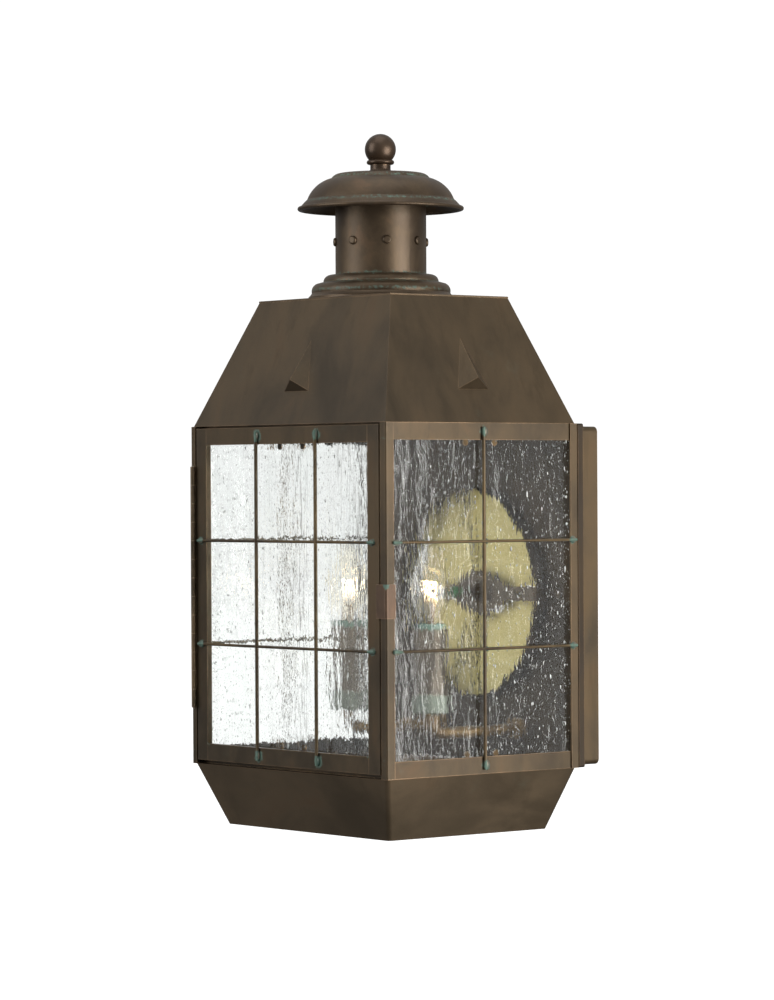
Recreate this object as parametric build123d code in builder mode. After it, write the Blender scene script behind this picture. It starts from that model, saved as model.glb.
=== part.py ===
from build123d import *
from math import cos, radians, sin
import os

# Outdoor wall lantern with a hinged glass door, a vented roof, a chimney and two candle lamps.
# Frame: +Z up, the front faces -Y, +X is the right side seen from the front.
# Origin: on the wall plane (y = 0), behind the middle of the glass section.
# Plane.XZ faces the front, so an offset or an extrusion on it is a distance out from the wall.

os.makedirs("parts", exist_ok=True)

# ---------------------------------------------------------------- driving dimensions (mm)
body_width = 222.0        # over the corner posts
body_depth = 172.0        # lamp compartment, rear sheet to front posts
glass_height = 240.0      # posts, between the roof and the base
pan_out = 15.0            # wall pan showing behind the compartment
tray_fold = 5.0           # fold of the rear sheet
sheet = 1.2               # brass sheet
glass_t = 2.2             # glass panes
skin_inset = 1.5          # roof and base stand this far inside the posts

roof_height = 89.0
roof_top_width = 149.6
roof_top_depth = 105.4
roof_top_back = 1.2       # the top plate sits this much nearer the wall than the roof's foot
base_height = 43.0
base_floor_width = 183.0
base_floor_depth = 141.6
base_floor_back = 1.7     # and so does the floor of the base

# ---------------------------------------------------------------- places worked out from them
x_out = body_width / 2
rear = pan_out + tray_fold                 # distances out from the wall
front = rear + body_depth
mid = (rear + front) / 2
z_top = glass_height / 2
z_bot = -z_top
x_skin = x_out - sheet                     # inner face of the posts' side legs
sides = {"left": -1, "right": 1}
lamp_axis = Axis((0, -mid, 0), (0, 0, 1))
lamp_plane = Plane(origin=(0, -mid, 0), x_dir=(1, 0, 0), z_dir=(0, -1, 0))


def save(builder, name):
    builder.part.label = name
    export_step(builder.part, f"parts/{name}.step")


def block(x, out, z, mode=Mode.ADD):
    # a box between two limits in X, in distance out from the wall, and in Z
    with Locations(((x[0] + x[1]) / 2, -(out[0] + out[1]) / 2, (z[0] + z[1]) / 2)):
        Box(abs(x[1] - x[0]), abs(out[1] - out[0]), abs(z[1] - z[0]), mode=mode)


def rod(start, end, radius, mode=Mode.ADD):
    # a round bar from one point to another
    along = Vector(*end) - Vector(*start)
    with BuildSketch(Plane(origin=start, z_dir=along)) as disc:
        Circle(radius)
    extrude(disc.sketch, amount=along.length, mode=mode)


def frustum(big_z, big, small_z, small, back, corner, mode=Mode.ADD):
    # a four-sided tapered block; its small end stands nearer the wall by the distance given
    with BuildSketch(Plane(origin=(0, -mid, big_z))) as foot:
        RectangleRounded(*big, corner)
    with BuildSketch(Plane(origin=(0, back - mid, small_z))) as head:
        RectangleRounded(*small, corner)
    loft(sections=[foot.sketch, head.sketch], mode=mode)


# ================================================================ wall side
pan_side = 2.0            # the pan is this much smaller than the rear sheet at each side
pan_z = (z_bot + 1.4, z_top - 2.0)
pan_width = body_width - 2 * pan_side
pan_height = pan_z[1] - pan_z[0]
pan_mid_z = (pan_z[0] + pan_z[1]) / 2
pan_corner = 4.0
pan_front = rear - sheet                   # its front wall lies against the rear sheet
wall_flange = 9.0
opening_r = 74.0          # round opening of the rear sheet
collar_out = 10.0         # depth of the collar round it
pan_hole_r = opening_r + 2.0
arm_x = 45.0
arm_z = z_bot + 24.0
arm_r = 4.0
fit = 0.05
crossbar_t = 2.0
crossbar_out = (pan_front - sheet - crossbar_t, pan_front - sheet)
crossbar_half = 96.0
crossbar_rivet_x = 89.5
box_bolt_x = 44.45        # half the bolt spacing of a round junction box
box_bolt_r = 2.4
nipple_r = 4.8

with BuildPart() as back_pan:
    with BuildSketch(Plane.XZ):
        with Locations((0, pan_mid_z)):
            RectangleRounded(pan_width, pan_height, pan_corner)
    extrude(amount=pan_front)
    with BuildSketch(Plane.XZ.offset(sheet)):
        with Locations((0, pan_mid_z)):
            RectangleRounded(pan_width - 2 * sheet, pan_height - 2 * sheet, pan_corner - sheet)
    extrude(amount=pan_front - 2 * sheet, mode=Mode.SUBTRACT)
    with BuildSketch(Plane.XZ):
        with Locations((0, pan_mid_z)):
            RectangleRounded(pan_width - 2 * wall_flange, pan_height - 2 * wall_flange, pan_corner)
    extrude(amount=sheet, mode=Mode.SUBTRACT)
    with BuildSketch(Plane.XZ.offset(pan_front - sheet)):
        Circle(pan_hole_r)
        with Locations((-arm_x, arm_z), (arm_x, arm_z)):
            Circle(arm_r + fit)
        with Locations((-crossbar_rivet_x, 0), (crossbar_rivet_x, 0)):
            Circle(1.6)
    extrude(amount=sheet, mode=Mode.SUBTRACT)
save(back_pan, "back_pan")

with BuildPart() as back_panel:
    with BuildSketch(Plane.XZ.offset(pan_out)):
        RectangleRounded(body_width, glass_height, 1.5)
    extrude(amount=tray_fold)
    with BuildSketch(Plane.XZ.offset(pan_out)):
        Rectangle(body_width - 2 * sheet, glass_height - 2 * sheet)
    extrude(amount=tray_fold - sheet, mode=Mode.SUBTRACT)
    with BuildSketch(Plane.XZ.offset(rear - sheet)):
        Circle(opening_r)
        with Locations((-arm_x, arm_z), (arm_x, arm_z)):
            Circle(arm_r + fit)
        with Locations((-crossbar_rivet_x, 0), (crossbar_rivet_x, 0)):
            Circle(1.6)
    extrude(amount=sheet, mode=Mode.SUBTRACT)
save(back_panel, "back_panel")

with BuildPart() as opening_collar:
    with BuildSketch(Plane.XZ.offset(rear)):
        Circle(opening_r + sheet)
        Circle(opening_r, mode=Mode.SUBTRACT)
    extrude(amount=collar_out)
    fillet(opening_collar.edges().group_by(Axis.Y)[0], 0.5)
save(opening_collar, "opening_collar")

pad_t = 7.0
with BuildPart() as insulation_pad:
    with BuildSketch(Plane.XZ.offset(sheet)):
        with Locations((0, pan_mid_z)):
            RectangleRounded(pan_width - 2 * sheet - 1, pan_height - 2 * sheet - 1, 3)
        with BuildLine():
            FilletPolyline((-28, -1), (-6, 15), (27, 2), (6, -18), radius=3, close=True)
        make_face(mode=Mode.SUBTRACT)
        with Locations((-box_bolt_x, 0), (box_bolt_x, 0)):
            Circle(7, mode=Mode.SUBTRACT)
    extrude(amount=pad_t)
save(insulation_pad, "insulation_pad")

with BuildPart() as crossbar:
    with BuildSketch(Plane.XZ.offset(crossbar_out[0])):
        with BuildLine():
            Polyline((-crossbar_half, -5), (-30, -5), (-8, -16), (8, -16), (30, -5), (crossbar_half, -5),
                     (crossbar_half, 5), (30, 5), (8, 16), (-8, 16), (-30, 5), (-crossbar_half, 5),
                     close=True)
        make_face()
        Circle(nipple_r + fit, mode=Mode.SUBTRACT)
        with Locations((-box_bolt_x, 0), (box_bolt_x, 0)):
            Circle(box_bolt_r, mode=Mode.SUBTRACT)
        with Locations((-crossbar_rivet_x, 0), (crossbar_rivet_x, 0)):
            Circle(1.6, mode=Mode.SUBTRACT)
        with Locations((-24, 0)):
            Circle(2.0, mode=Mode.SUBTRACT)
    extrude(amount=crossbar_t)
save(crossbar, "crossbar")

with BuildPart() as crossbar_rivets:
    for x in (-crossbar_rivet_x, crossbar_rivet_x):
        rod((x, -(crossbar_out[0] - 1.0), 0), (x, -(rear + 0.2), 0), 1.55)
        rod((x, -(crossbar_out[0] - 1.0), 0), (x, -crossbar_out[0], 0), 2.8)
        rod((x, -rear, 0), (x, -(rear + 1.3), 0), 2.8)
save(crossbar_rivets, "crossbar_rivets")

with BuildPart() as ground_screw:
    rod((-24, -(crossbar_out[0] - 4), 0), (-24, -crossbar_out[1], 0), 1.95)
    with BuildSketch(Plane.XZ.offset(crossbar_out[1])):
        with Locations((-24, 0)):
            RegularPolygon(4.2, 6)
    extrude(amount=2.8)
    with BuildSketch(Plane.XZ.offset(crossbar_out[1] + 1.8)):
        with Locations((-24, 0)):
            Rectangle(7, 1.1)
    extrude(amount=1.0, mode=Mode.SUBTRACT)
save(ground_screw, "ground_screw")

with BuildPart() as wiring_nipple:
    rod((0, -(crossbar_out[0] - 7), 0), (0, -(crossbar_out[1] + 8), 0), nipple_r)
    rod((0, -(crossbar_out[0] - 7), 0), (0, -(crossbar_out[1] + 8), 0), 3.4, mode=Mode.SUBTRACT)
save(wiring_nipple, "wiring_nipple")

with BuildPart() as nipple_nut:
    with BuildSketch(Plane.XZ.offset(crossbar_out[1])):
        RegularPolygon(8.2, 6)
        Circle(nipple_r + fit, mode=Mode.SUBTRACT)
    extrude(amount=3.2)
save(nipple_nut, "nipple_nut")

# ================================================================ cage: posts, rails, side panes
post_side_leg = 7.0
post_front_leg = 6.0
hinge_post_leg = 5.4      # the hinge post's front leg is trimmed to clear the door leaf
fold_r = 1.5


def post(name, side, at_front, leg):
    # a bent corner angle: one leg along the side, the other across the front or the rear
    corner = front if at_front else rear
    step = -1 if at_front else 1            # from the corner towards the middle of the side
    with BuildPart() as angle:
        with BuildSketch(Plane.XY.offset(z_bot)):
            with BuildLine():
                Polyline(
                    (side * x_out, -corner),
                    (side * x_out, -(corner + step * post_side_leg)),
                    (side * x_skin, -(corner + step * post_side_leg)),
                    (side * x_skin, -(corner + step * sheet)),
                    (side * (x_out - leg), -(corner + step * sheet)),
                    (side * (x_out - leg), -corner),
                    close=True,
                )
            make_face()
        extrude(amount=glass_height)
        fold = angle.edges().filter_by(Axis.Z).sort_by_distance((side * x_out, -corner, 0))[0]
        fillet(fold, fold_r if at_front else 1.0)
    save(angle, name)


post("post_front_left", -1, True, hinge_post_leg)
post("post_front_right", 1, True, post_front_leg)
post("post_rear_left", -1, False, post_front_leg)
post("post_rear_right", 1, False, post_front_leg)

rail_h = 11.8
rail_out = (rear + sheet, front - sheet)
levels = {"top": 1, "bottom": -1}
for side_name, side in sides.items():
    for level_name, level in levels.items():
        with BuildPart() as side_rail:
            block((side * (x_skin - sheet), side * x_skin), rail_out,
                  (level * (z_top - rail_h), level * z_top))
        save(side_rail, f"side_rail_{side_name}_{level_name}")

pane_x = (x_skin - sheet - glass_t, x_skin - sheet)
pane_out = (rear + sheet + 0.8, front - sheet - 0.4)
pane_half_z = z_top - 2.0
for side_name, side in sides.items():
    with BuildPart() as side_glass:
        block((side * pane_x[0], side * pane_x[1]), pane_out, (-pane_half_z, pane_half_z))
        fillet(side_glass.edges().filter_by(Axis.X), 0.8)
    save(side_glass, f"side_glass_{side_name}")

# cross wires lie on the posts, the upright wire lies on the rails and is notched round them
upper_wire_z = z_bot + 159.0
lower_wire_z = z_bot + 85.5
wire_levels = (upper_wire_z, lower_wire_z)
upright_r = 1.25
cross_r = 1.0
wire_end = 3.0            # how far a wire's end stops inside the outer edge of its rail
for side_name, side in sides.items():
    with BuildPart() as side_wires:
        upright_x = side * (x_skin + upright_r)
        cross_x = side * (x_out + cross_r)
        upright_z = z_top - wire_end
        rod((upright_x, -mid, -upright_z), (upright_x, -mid, upright_z), upright_r)
        cross_ends = [((cross_x, -(front - 5.5), z), (cross_x, -(rear + 2.5), z)) for z in wire_levels]
        for start, end in cross_ends:
            rod(start, end, cross_r + 0.03, mode=Mode.SUBTRACT)
        for start, end in cross_ends:
            rod(start, end, cross_r)
    save(side_wires, f"side_wires_{side_name}")

tab_r = 2.3
tab_t = 1.0
tab_gap = 13.0            # from the middle of a pane to each of its tabs
with BuildPart() as side_glass_tabs:
    for side in sides.values():
        for level in levels.values():
            for out in (mid - tab_gap, mid + tab_gap):
                x = side * pane_x[0]
                z_tab = level * (z_top - rail_h - 1.8)
                rod((x, -out, z_tab), (x - side * tab_t, -out, z_tab), tab_r)
                block((x, x - side * tab_t), (out - 1.5, out + 1.5), (z_tab, level * z_top))
                block((x, side * (x_skin - sheet)), (out - 1.5, out + 1.5),
                      (level * (pane_half_z + 0.5), level * z_top))
save(side_glass_tabs, "side_glass_tabs")

# door stops: upright webs behind the door's rails, with ears that reach the side rails
stop_out = (front - 9.0, front - 9.0 + sheet)
stop_half_x = pane_x[0] - 0.2
with BuildPart() as door_stops:
    for level in levels.values():
        block((-stop_half_x, stop_half_x), stop_out, (level * (z_top - 12.5), level * z_top))
        block((-(x_skin - sheet), x_skin - sheet), stop_out, (level * (pane_half_z + 0.3), level * z_top))
        block((-stop_half_x, stop_half_x), (stop_out[0] - 8, stop_out[1]),
              (level * (z_top - sheet), level * z_top))
save(door_stops, "door_stops")

# ================================================================ roof with three pressed vents
skin_half_x = x_out - skin_inset
skin_half_d = body_depth / 2 - skin_inset
skin_size = (2 * skin_half_x, 2 * skin_half_d)
roof_top_z = z_top + roof_height
plate_z = roof_top_z - sheet
roof_top = (roof_top_width, roof_top_depth)
wall_across = 1.29        # sheet thickness measured level through the sloping roof
roof_corner = 0.7
skin_flange = 7.0

vent_width = 28.0
vent_base_up = 23.0       # height of the vent's lower edge above the roof's lower edge
vent_slope = 39.0         # length of the vent up the slope
vent_peak_up = 5.5
vent_peak_out = 8.0
vent_wall = 1.4


def shrink(size, by):
    return (size[0] - 2 * by, size[1] - 2 * by)


def roof_plane(turn):
    # a plane on a roof face: local X runs level, local Y runs up the slope, local Z points outwards
    lean_x = (skin_size[0] - roof_top[0]) / 2
    lean_d = (skin_size[1] - roof_top[1]) / 2 + roof_top_back
    lean, half = (lean_x, skin_half_x) if turn else (lean_d, skin_half_d)
    rise = plate_z - z_top
    share = vent_base_up / rise
    up = Vector(0, lean, rise).normalized()
    normal = Vector(0, -rise, lean).normalized()
    foot = Vector(0, -(half - lean * share), z_top + vent_base_up)
    across = up.cross(normal)
    about_z = Axis((0, 0, 0), (0, 0, 1))
    place, across, normal = (v.rotate(about_z, 90 * turn) for v in (foot, across, normal))
    return Plane(origin=place + Vector(0, -mid, 0), x_dir=across, z_dir=normal)


def vent(plane, half, low, apex, peak, mode):
    # a three-sided peak on a triangle that lies just under the roof face
    with BuildSketch(plane.offset(-0.2)) as foot:
        with BuildLine():
            Polyline((-half, low), (half, low), (0, apex), close=True)
        make_face()
    loft(sections=[foot.sketch, Vertex(*plane.from_local_coords(Vector(0, peak[0], peak[1])))], mode=mode)


vent_faces = [roof_plane(turn) for turn in (0, 1, -1)]
with BuildPart() as roof_shell:
    frustum(z_top, skin_size, plate_z, roof_top, roof_top_back, roof_corner)
    for plane in vent_faces:
        vent(plane, vent_width / 2, 0, vent_slope, (vent_peak_up, vent_peak_out), Mode.ADD)
    frustum(z_top + sheet, shrink(skin_size, wall_across), plate_z, shrink(roof_top, wall_across),
            roof_top_back, 0.1, Mode.SUBTRACT)
    block((-(skin_half_x - skin_flange), skin_half_x - skin_flange),
          (mid - skin_half_d + skin_flange, mid + skin_half_d - skin_flange),
          (z_top, z_top + sheet), Mode.SUBTRACT)
    for plane in vent_faces:
        vent(plane, vent_width / 2 - vent_wall, vent_wall, vent_slope - 3.2,
             (vent_peak_up + 0.5, vent_peak_out - vent_wall), Mode.SUBTRACT)
        with BuildSketch(plane.offset(-2 * sheet)):
            with BuildLine():
                Polyline((vent_wall - vent_width / 2, 1.8), (vent_width / 2 - vent_wall, 1.8),
                         (0, vent_slope - 3.2), close=True)
            make_face()
        extrude(amount=2 * sheet, mode=Mode.SUBTRACT)
save(roof_shell, "roof_shell")

tube_r = 32.1
tube_t = 1.0
with BuildPart() as roof_top_plate:
    with BuildSketch(Plane(origin=(0, -mid, plate_z))):
        with Locations((0, roof_top_back)):
            Rectangle(*roof_top)
        Circle(tube_r - tube_t, mode=Mode.SUBTRACT)
    extrude(amount=sheet)
    chamfer(roof_top_plate.edges().group_by(Axis.Z)[-1].filter_by(GeomType.LINE), 0.3)
save(roof_top_plate, "roof_top_plate")

# ================================================================ chimney, cap and finial
collar_h = 17.3
tube_top = roof_top_z + 66.0
rivet_z = roof_top_z + 40.0
rivet_count = 8
rivet_turn = 14.0
rivet_head_r = 3.1
rivet_head_t = 1.6
spun_t = 1.1


def spun(draw_profile):
    # turns a closed profile round the lamp axis; the profile's X is the radius and its Y is Z
    with BuildSketch(lamp_plane) as profile:
        with BuildLine():
            draw_profile()
        make_face()
    revolve(profile.sketch, axis=lamp_axis)


def collar_line(inward, down):
    # outer line of the chimney's spun collar, or its inner line when it is moved in and down
    z = roof_top_z - down
    Line((51.2 - inward, z), (51.2 - inward, z + 1.3))
    ThreePointArc((51.2 - inward, z + 1.3), (50.0 - inward, z + 2.4), (48.9 - inward, z + 4.0))
    ThreePointArc((48.9 - inward, z + 4.0), (48.6 - inward, z + 7.6), (45.6 - inward, z + 10.6))
    Line((45.6 - inward, z + 10.6), (40.7 - inward, z + 11.9))
    ThreePointArc((40.7 - inward, z + 11.9), (39.9 - inward, z + 14.6), (36.6 - inward, z + 16.8))


def collar_profile():
    collar_line(0, 0)
    Line((36.6, roof_top_z + 16.8), (tube_r + fit, roof_top_z + collar_h))
    Line((tube_r + fit, roof_top_z + collar_h), (tube_r + fit, roof_top_z + collar_h - spun_t))
    Line((tube_r + fit, roof_top_z + collar_h - spun_t), (36.6 - spun_t, roof_top_z + 16.8 - spun_t))
    # the inner line is walked the other way
    z = roof_top_z - spun_t
    ThreePointArc((36.6 - spun_t, z + 16.8), (39.9 - spun_t, z + 14.6), (40.7 - spun_t, z + 11.9))
    Line((40.7 - spun_t, z + 11.9), (45.6 - spun_t, z + 10.6))
    ThreePointArc((45.6 - spun_t, z + 10.6), (48.6 - spun_t, z + 7.6), (48.9 - spun_t, z + 4.0))
    ThreePointArc((48.9 - spun_t, z + 4.0), (49.1 - spun_t, z + 2.6), (49.4 - spun_t, z + spun_t))
    Line((49.4 - spun_t, z + spun_t), (51.2, roof_top_z))


with BuildPart() as chimney_base_ring:
    spun(collar_profile)
save(chimney_base_ring, "chimney_base_ring")

rivet_angles = [radians(rivet_turn + k * 360 / rivet_count) for k in range(rivet_count)]
rivet_spots = [(cos(angle), sin(angle)) for angle in rivet_angles]


def on_tube(direction, radius, z):
    return (direction[0] * radius, direction[1] * radius - mid, z)


with BuildPart() as chimney_tube:
    with BuildSketch(Plane(origin=(0, -mid, roof_top_z))):
        Circle(tube_r)
        Circle(tube_r - tube_t, mode=Mode.SUBTRACT)
    extrude(amount=tube_top - roof_top_z)
    for spot in rivet_spots:
        rod(on_tube(spot, tube_r - 4, rivet_z), on_tube(spot, tube_r + 2, rivet_z), 1.4, mode=Mode.SUBTRACT)
save(chimney_tube, "chimney_tube")

bracket_t = 1.0
bracket_r = tube_r - tube_t - fit
bridge_z = tube_top + 2.0
bridge_t = 1.6
leg_x = bracket_r - bracket_t - 0.1
with BuildPart() as cap_bracket:
    with BuildSketch(Plane(origin=(0, -mid, rivet_z - 5))):
        Circle(bracket_r)
        Circle(bracket_r - bracket_t, mode=Mode.SUBTRACT)
    extrude(amount=10)
    for side in sides.values():
        block((side * (leg_x - bridge_t), side * leg_x), (mid - 5, mid + 5), (rivet_z - 5, bridge_z))
    block((-leg_x, leg_x), (mid - 5, mid + 5), (bridge_z - bridge_t, bridge_z))
    for spot in rivet_spots:
        rod(on_tube(spot, tube_r - 6, rivet_z), on_tube(spot, tube_r, rivet_z), 1.4, mode=Mode.SUBTRACT)
    rod((0, -mid, bridge_z - 5), (0, -mid, bridge_z + 1), 2.55, mode=Mode.SUBTRACT)
save(cap_bracket, "cap_bracket")

with BuildPart() as chimney_rivets:
    for spot in rivet_spots:
        rod(on_tube(spot, bracket_r - bracket_t - 0.9, rivet_z), on_tube(spot, tube_r + 0.3, rivet_z), 1.35)
        tail = bracket_r - bracket_t - 0.15
        rod(on_tube(spot, tail - 1.55, rivet_z), on_tube(spot, tail, rivet_z), 2.0)
        head = Plane(origin=on_tube(spot, tube_r, rivet_z), z_dir=(spot[0], spot[1], 0))
        with BuildSketch(head):
            Circle(rivet_head_r)
        extrude(amount=rivet_head_t)
        crown = chimney_rivets.faces().sort_by_distance(on_tube(spot, tube_r + rivet_head_t, rivet_z))[0]
        fillet(crown.edges(), 0.85 * rivet_head_t)
save(chimney_rivets, "chimney_rivets")

cap_top = roof_top_z + 89.3
brim_z = roof_top_z + 63.6
brim_bead_r = 1.5
brim_r = 58.7


def cap_line(inward, down):
    # the cap's line from its brim to its neck, moved in and down
    z = brim_z - down
    ThreePointArc((57.2 - inward, z + 0.6), (54.8 - inward, z + 3.6), (51.9 - inward, z + 6.4))
    ThreePointArc((51.9 - inward, z + 6.4), (46.2 - inward, z + 15.2), (34.8 - inward, z + 21.4))
    Line((34.8 - inward, z + 21.4), (34.4 - inward, z + 22.0))
    ThreePointArc((34.4 - inward, z + 22.0), (32.2 - inward, z + 23.9), (28.0 - inward, z + 24.7))


def cap_profile():
    hole_r = 2.8
    cap_line(0, 0)
    Line((28.0, brim_z + 24.7), (9.0, cap_top))
    Line((9.0, cap_top), (hole_r, cap_top))
    Line((hole_r, cap_top), (hole_r, cap_top - spun_t))
    Line((hole_r, cap_top - spun_t), (9.0 - spun_t, cap_top - spun_t))
    Line((9.0 - spun_t, cap_top - spun_t), (28.0 - spun_t, brim_z + 24.7 - spun_t))
    cap_line(spun_t, spun_t)
    Line((57.2 - spun_t, brim_z + 0.6 - spun_t), (57.2, brim_z + 0.6))


with BuildPart() as chimney_cap:
    spun(cap_profile)
    with BuildSketch(lamp_plane):
        with Locations((brim_r - brim_bead_r, brim_z)):
            Circle(brim_bead_r)
    revolve(axis=lamp_axis)
save(chimney_cap, "chimney_cap")

stud_r = 2.5
nut_h = 3.6
finial_bore_z = cap_top + 14.0
with BuildPart() as cap_stud:
    rod((0, -mid, bridge_z - 6), (0, -mid, finial_bore_z - 1), stud_r)
    for low in (bridge_z - bridge_t - nut_h, bridge_z, cap_top - spun_t - nut_h):
        with BuildSketch(Plane(origin=(0, -mid, low))):
            RegularPolygon(4.8, 6)
        extrude(amount=nut_h)
save(cap_stud, "cap_stud")

ball_r = 11.0
ball_z = cap_top + 16.1
neck_r = 7.2
join_z = cap_top + 8.6
join_r = (ball_r ** 2 - (ball_z - join_z) ** 2) ** 0.5


def finial_profile():
    z = cap_top
    Polyline((stud_r + fit, finial_bore_z), (stud_r + fit, z), (9.2, z))
    ThreePointArc((9.2, z), (7.7, z + 1.0), (neck_r, z + 2.8))
    Line((neck_r, z + 2.8), (neck_r, z + 5.2))
    Line((neck_r, z + 5.2), (8.4, z + 5.4))
    ThreePointArc((8.4, z + 5.4), (9.75, z + 7.0), (join_r, join_z))
    ThreePointArc((join_r, join_z), (ball_r, ball_z), (0, ball_z + ball_r))
    Polyline((0, ball_z + ball_r), (0, finial_bore_z), (stud_r + fit, finial_bore_z))


with BuildPart() as finial:
    spun(finial_profile)
save(finial, "finial")

# ================================================================ base pan
base_z = z_bot - base_height
floor_size = (base_floor_width, base_floor_depth)
base_corner = 3.0
with BuildPart() as base_pan:
    frustum(z_bot, skin_size, base_z, floor_size, base_floor_back, base_corner)
    frustum(z_bot - sheet, shrink(skin_size, wall_across), base_z + sheet, shrink(floor_size, wall_across),
            base_floor_back, base_corner - sheet, Mode.SUBTRACT)
    block((-(skin_half_x - skin_flange), skin_half_x - skin_flange),
          (mid - skin_half_d + skin_flange, mid + skin_half_d - skin_flange),
          (z_bot - sheet, z_bot), Mode.SUBTRACT)
    rod((0, -mid, base_z - 1), (0, -mid, base_z + 2 * sheet), 3.0, mode=Mode.SUBTRACT)
save(base_pan, "base_pan")

# ================================================================ door on its long hinge
door_x = (-(x_out - 6.4), x_out - 7.5)
door_z = (z_bot + 3.0, z_top - 1.5)
stile_w = 12.3
door_rear = front - 6.2
door_glass_out = (door_rear, door_rear + glass_t)
door_inner = (door_x[0] + stile_w, door_x[1] - stile_w)


for name, edge, inward in (("door_stile_left", door_x[0], 1), ("door_stile_right", door_x[1], -1)):
    with BuildPart() as door_stile:
        block((edge, edge + inward * stile_w), (front - sheet, front), door_z)
        block((edge, edge + inward * sheet), (door_rear, front), door_z)
        inner = edge + inward * stile_w
        block((inner, inner - inward * sheet), (door_glass_out[1], front),
              (door_z[0] + rail_h, door_z[1] - rail_h))
        outer_edge = door_stile.edges().filter_by(Axis.Z).sort_by_distance((edge, -front, 0))[0]
        fillet(outer_edge, 0.9)
    save(door_stile, name)

for name, edge, inward in (("door_rail_bottom", door_z[0], 1), ("door_rail_top", door_z[1], -1)):
    with BuildPart() as door_rail:
        block(door_inner, (front - sheet, front), (edge, edge + inward * rail_h))
        block((door_x[0] + sheet, door_x[1] - sheet), (door_rear, front - sheet),
              (edge, edge + inward * sheet))
        inner = edge + inward * rail_h
        block(door_inner, (door_glass_out[1], front), (inner, inner - inward * sheet))
    save(door_rail, name)

pane_clear = sheet + 0.2
with BuildPart() as door_glass:
    block((door_x[0] + pane_clear, door_x[1] - pane_clear), door_glass_out,
          (door_z[0] + pane_clear, door_z[1] - pane_clear))
    fillet(door_glass.edges().filter_by(Axis.Y), 0.8)
save(door_glass, "door_glass")

door_wire_x = (-32.0, 35.5)
door_wire_z = (door_z[0] + wire_end, door_z[1] - wire_end)
door_cross_x = (door_x[0] + wire_end, door_x[1] - 4.6)
with BuildPart() as door_wires_vertical:
    for x in door_wire_x:
        rod((x, -(front + upright_r), door_wire_z[0]), (x, -(front + upright_r), door_wire_z[1]), upright_r)
    for z in wire_levels:
        rod((door_cross_x[0], -(front + cross_r), z), (door_cross_x[1], -(front + cross_r), z),
            cross_r + 0.03, mode=Mode.SUBTRACT)
save(door_wires_vertical, "door_wires_vertical")

with BuildPart() as door_wires_horizontal:
    for z in wire_levels:
        rod((door_cross_x[0], -(front + cross_r), z), (door_cross_x[1], -(front + cross_r), z), cross_r)
save(door_wires_horizontal, "door_wires_horizontal")

with BuildPart() as door_glass_tabs:
    for edge, inward in ((door_z[0], 1), (door_z[1], -1)):
        for x in (-tab_gap, tab_gap):
            z_tab = edge + inward * (rail_h + 1.8)
            rod((x, -door_rear, z_tab), (x, -(door_rear - tab_t), z_tab), tab_r)
            block((x - 1.5, x + 1.5), (door_rear - tab_t, door_rear), (z_tab, edge))
save(door_glass_tabs, "door_glass_tabs")

# a row of knuckles on one pin: odd ones belong to the post, even ones to the door
hinge_x = -(x_out - 5.6)
leaf_t = 0.6
knuckle_r = 1.6
knuckle_clear = 0.3
hinge_out = front + leaf_t + knuckle_clear + knuckle_r
hinge_z = (z_bot + 40.0, z_bot + 211.6)
knuckle_count = 13
pin_r = 0.8
knuckle_len = (hinge_z[1] - hinge_z[0]) / knuckle_count


def knuckles(parity):
    gap = knuckle_clear / 2
    return [(hinge_z[0] + k * knuckle_len + gap, hinge_z[0] + (k + 1) * knuckle_len - gap)
            for k in range(knuckle_count) if k % 2 == parity]


def pin_hole():
    rod((hinge_x, -hinge_out, hinge_z[0] - 1), (hinge_x, -hinge_out, hinge_z[1] + 1), pin_r + fit,
        mode=Mode.SUBTRACT)


with BuildPart() as hinge_leaf_body:
    block((-x_out + 0.2, -(x_out - hinge_post_leg)), (front, front + leaf_t), hinge_z)
    for z in knuckles(0):
        rod((hinge_x, -hinge_out, z[0]), (hinge_x, -hinge_out, z[1]), knuckle_r)
        block((hinge_x - knuckle_r, hinge_x - 0.2), (front + leaf_t / 2, hinge_out), z)
    pin_hole()
save(hinge_leaf_body, "hinge_leaf_body")

with BuildPart() as hinge_leaf_door:
    block((door_x[0] - leaf_t, door_x[0]), (door_rear, front + 0.2), hinge_z)
    for z in knuckles(1):
        rod((hinge_x, -hinge_out, z[0]), (hinge_x, -hinge_out, z[1]), knuckle_r)
        block((door_x[0] - leaf_t, door_x[0]), (front, hinge_out), z)
    pin_hole()
save(hinge_leaf_door, "hinge_leaf_door")

with BuildPart() as hinge_pin:
    rod((hinge_x, -hinge_out, hinge_z[0] - 0.8), (hinge_x, -hinge_out, hinge_z[1] + 0.8), pin_r)
save(hinge_pin, "hinge_pin")

# spring clip: its front leg lies on the door's edge, its side leg springs behind the post's side
clip_t = 1.0
clip_clear = 0.3
clip_x = (door_x[1] - 2.0, x_out + clip_clear + clip_t)
clip_out = (front - post_side_leg, front + clip_clear + clip_t)
clip_z = (-12.0, 11.0)
with BuildPart() as latch_clip:
    with BuildSketch(Plane.XY.offset(clip_z[0])):
        with BuildLine():
            Polyline(
                (clip_x[0], -clip_out[1]), (clip_x[1], -clip_out[1]), (clip_x[1], -clip_out[0]),
                (clip_x[1] - clip_t, -clip_out[0]), (clip_x[1] - clip_t, -(clip_out[1] - clip_t)),
                (clip_x[0], -(clip_out[1] - clip_t)), close=True,
            )
        make_face()
    extrude(amount=clip_z[1] - clip_z[0])
    bend = latch_clip.edges().filter_by(Axis.Z).sort_by_distance((clip_x[1], -clip_out[1], 0))[0]
    fillet(bend, 1.8)
    fillet(latch_clip.edges().filter_by(Axis.X).group_by(Axis.Y)[-1], 0.3)
    block((clip_x[0], door_x[1]), (front, clip_out[1] - clip_t), clip_z)
save(latch_clip, "latch_clip")

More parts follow.
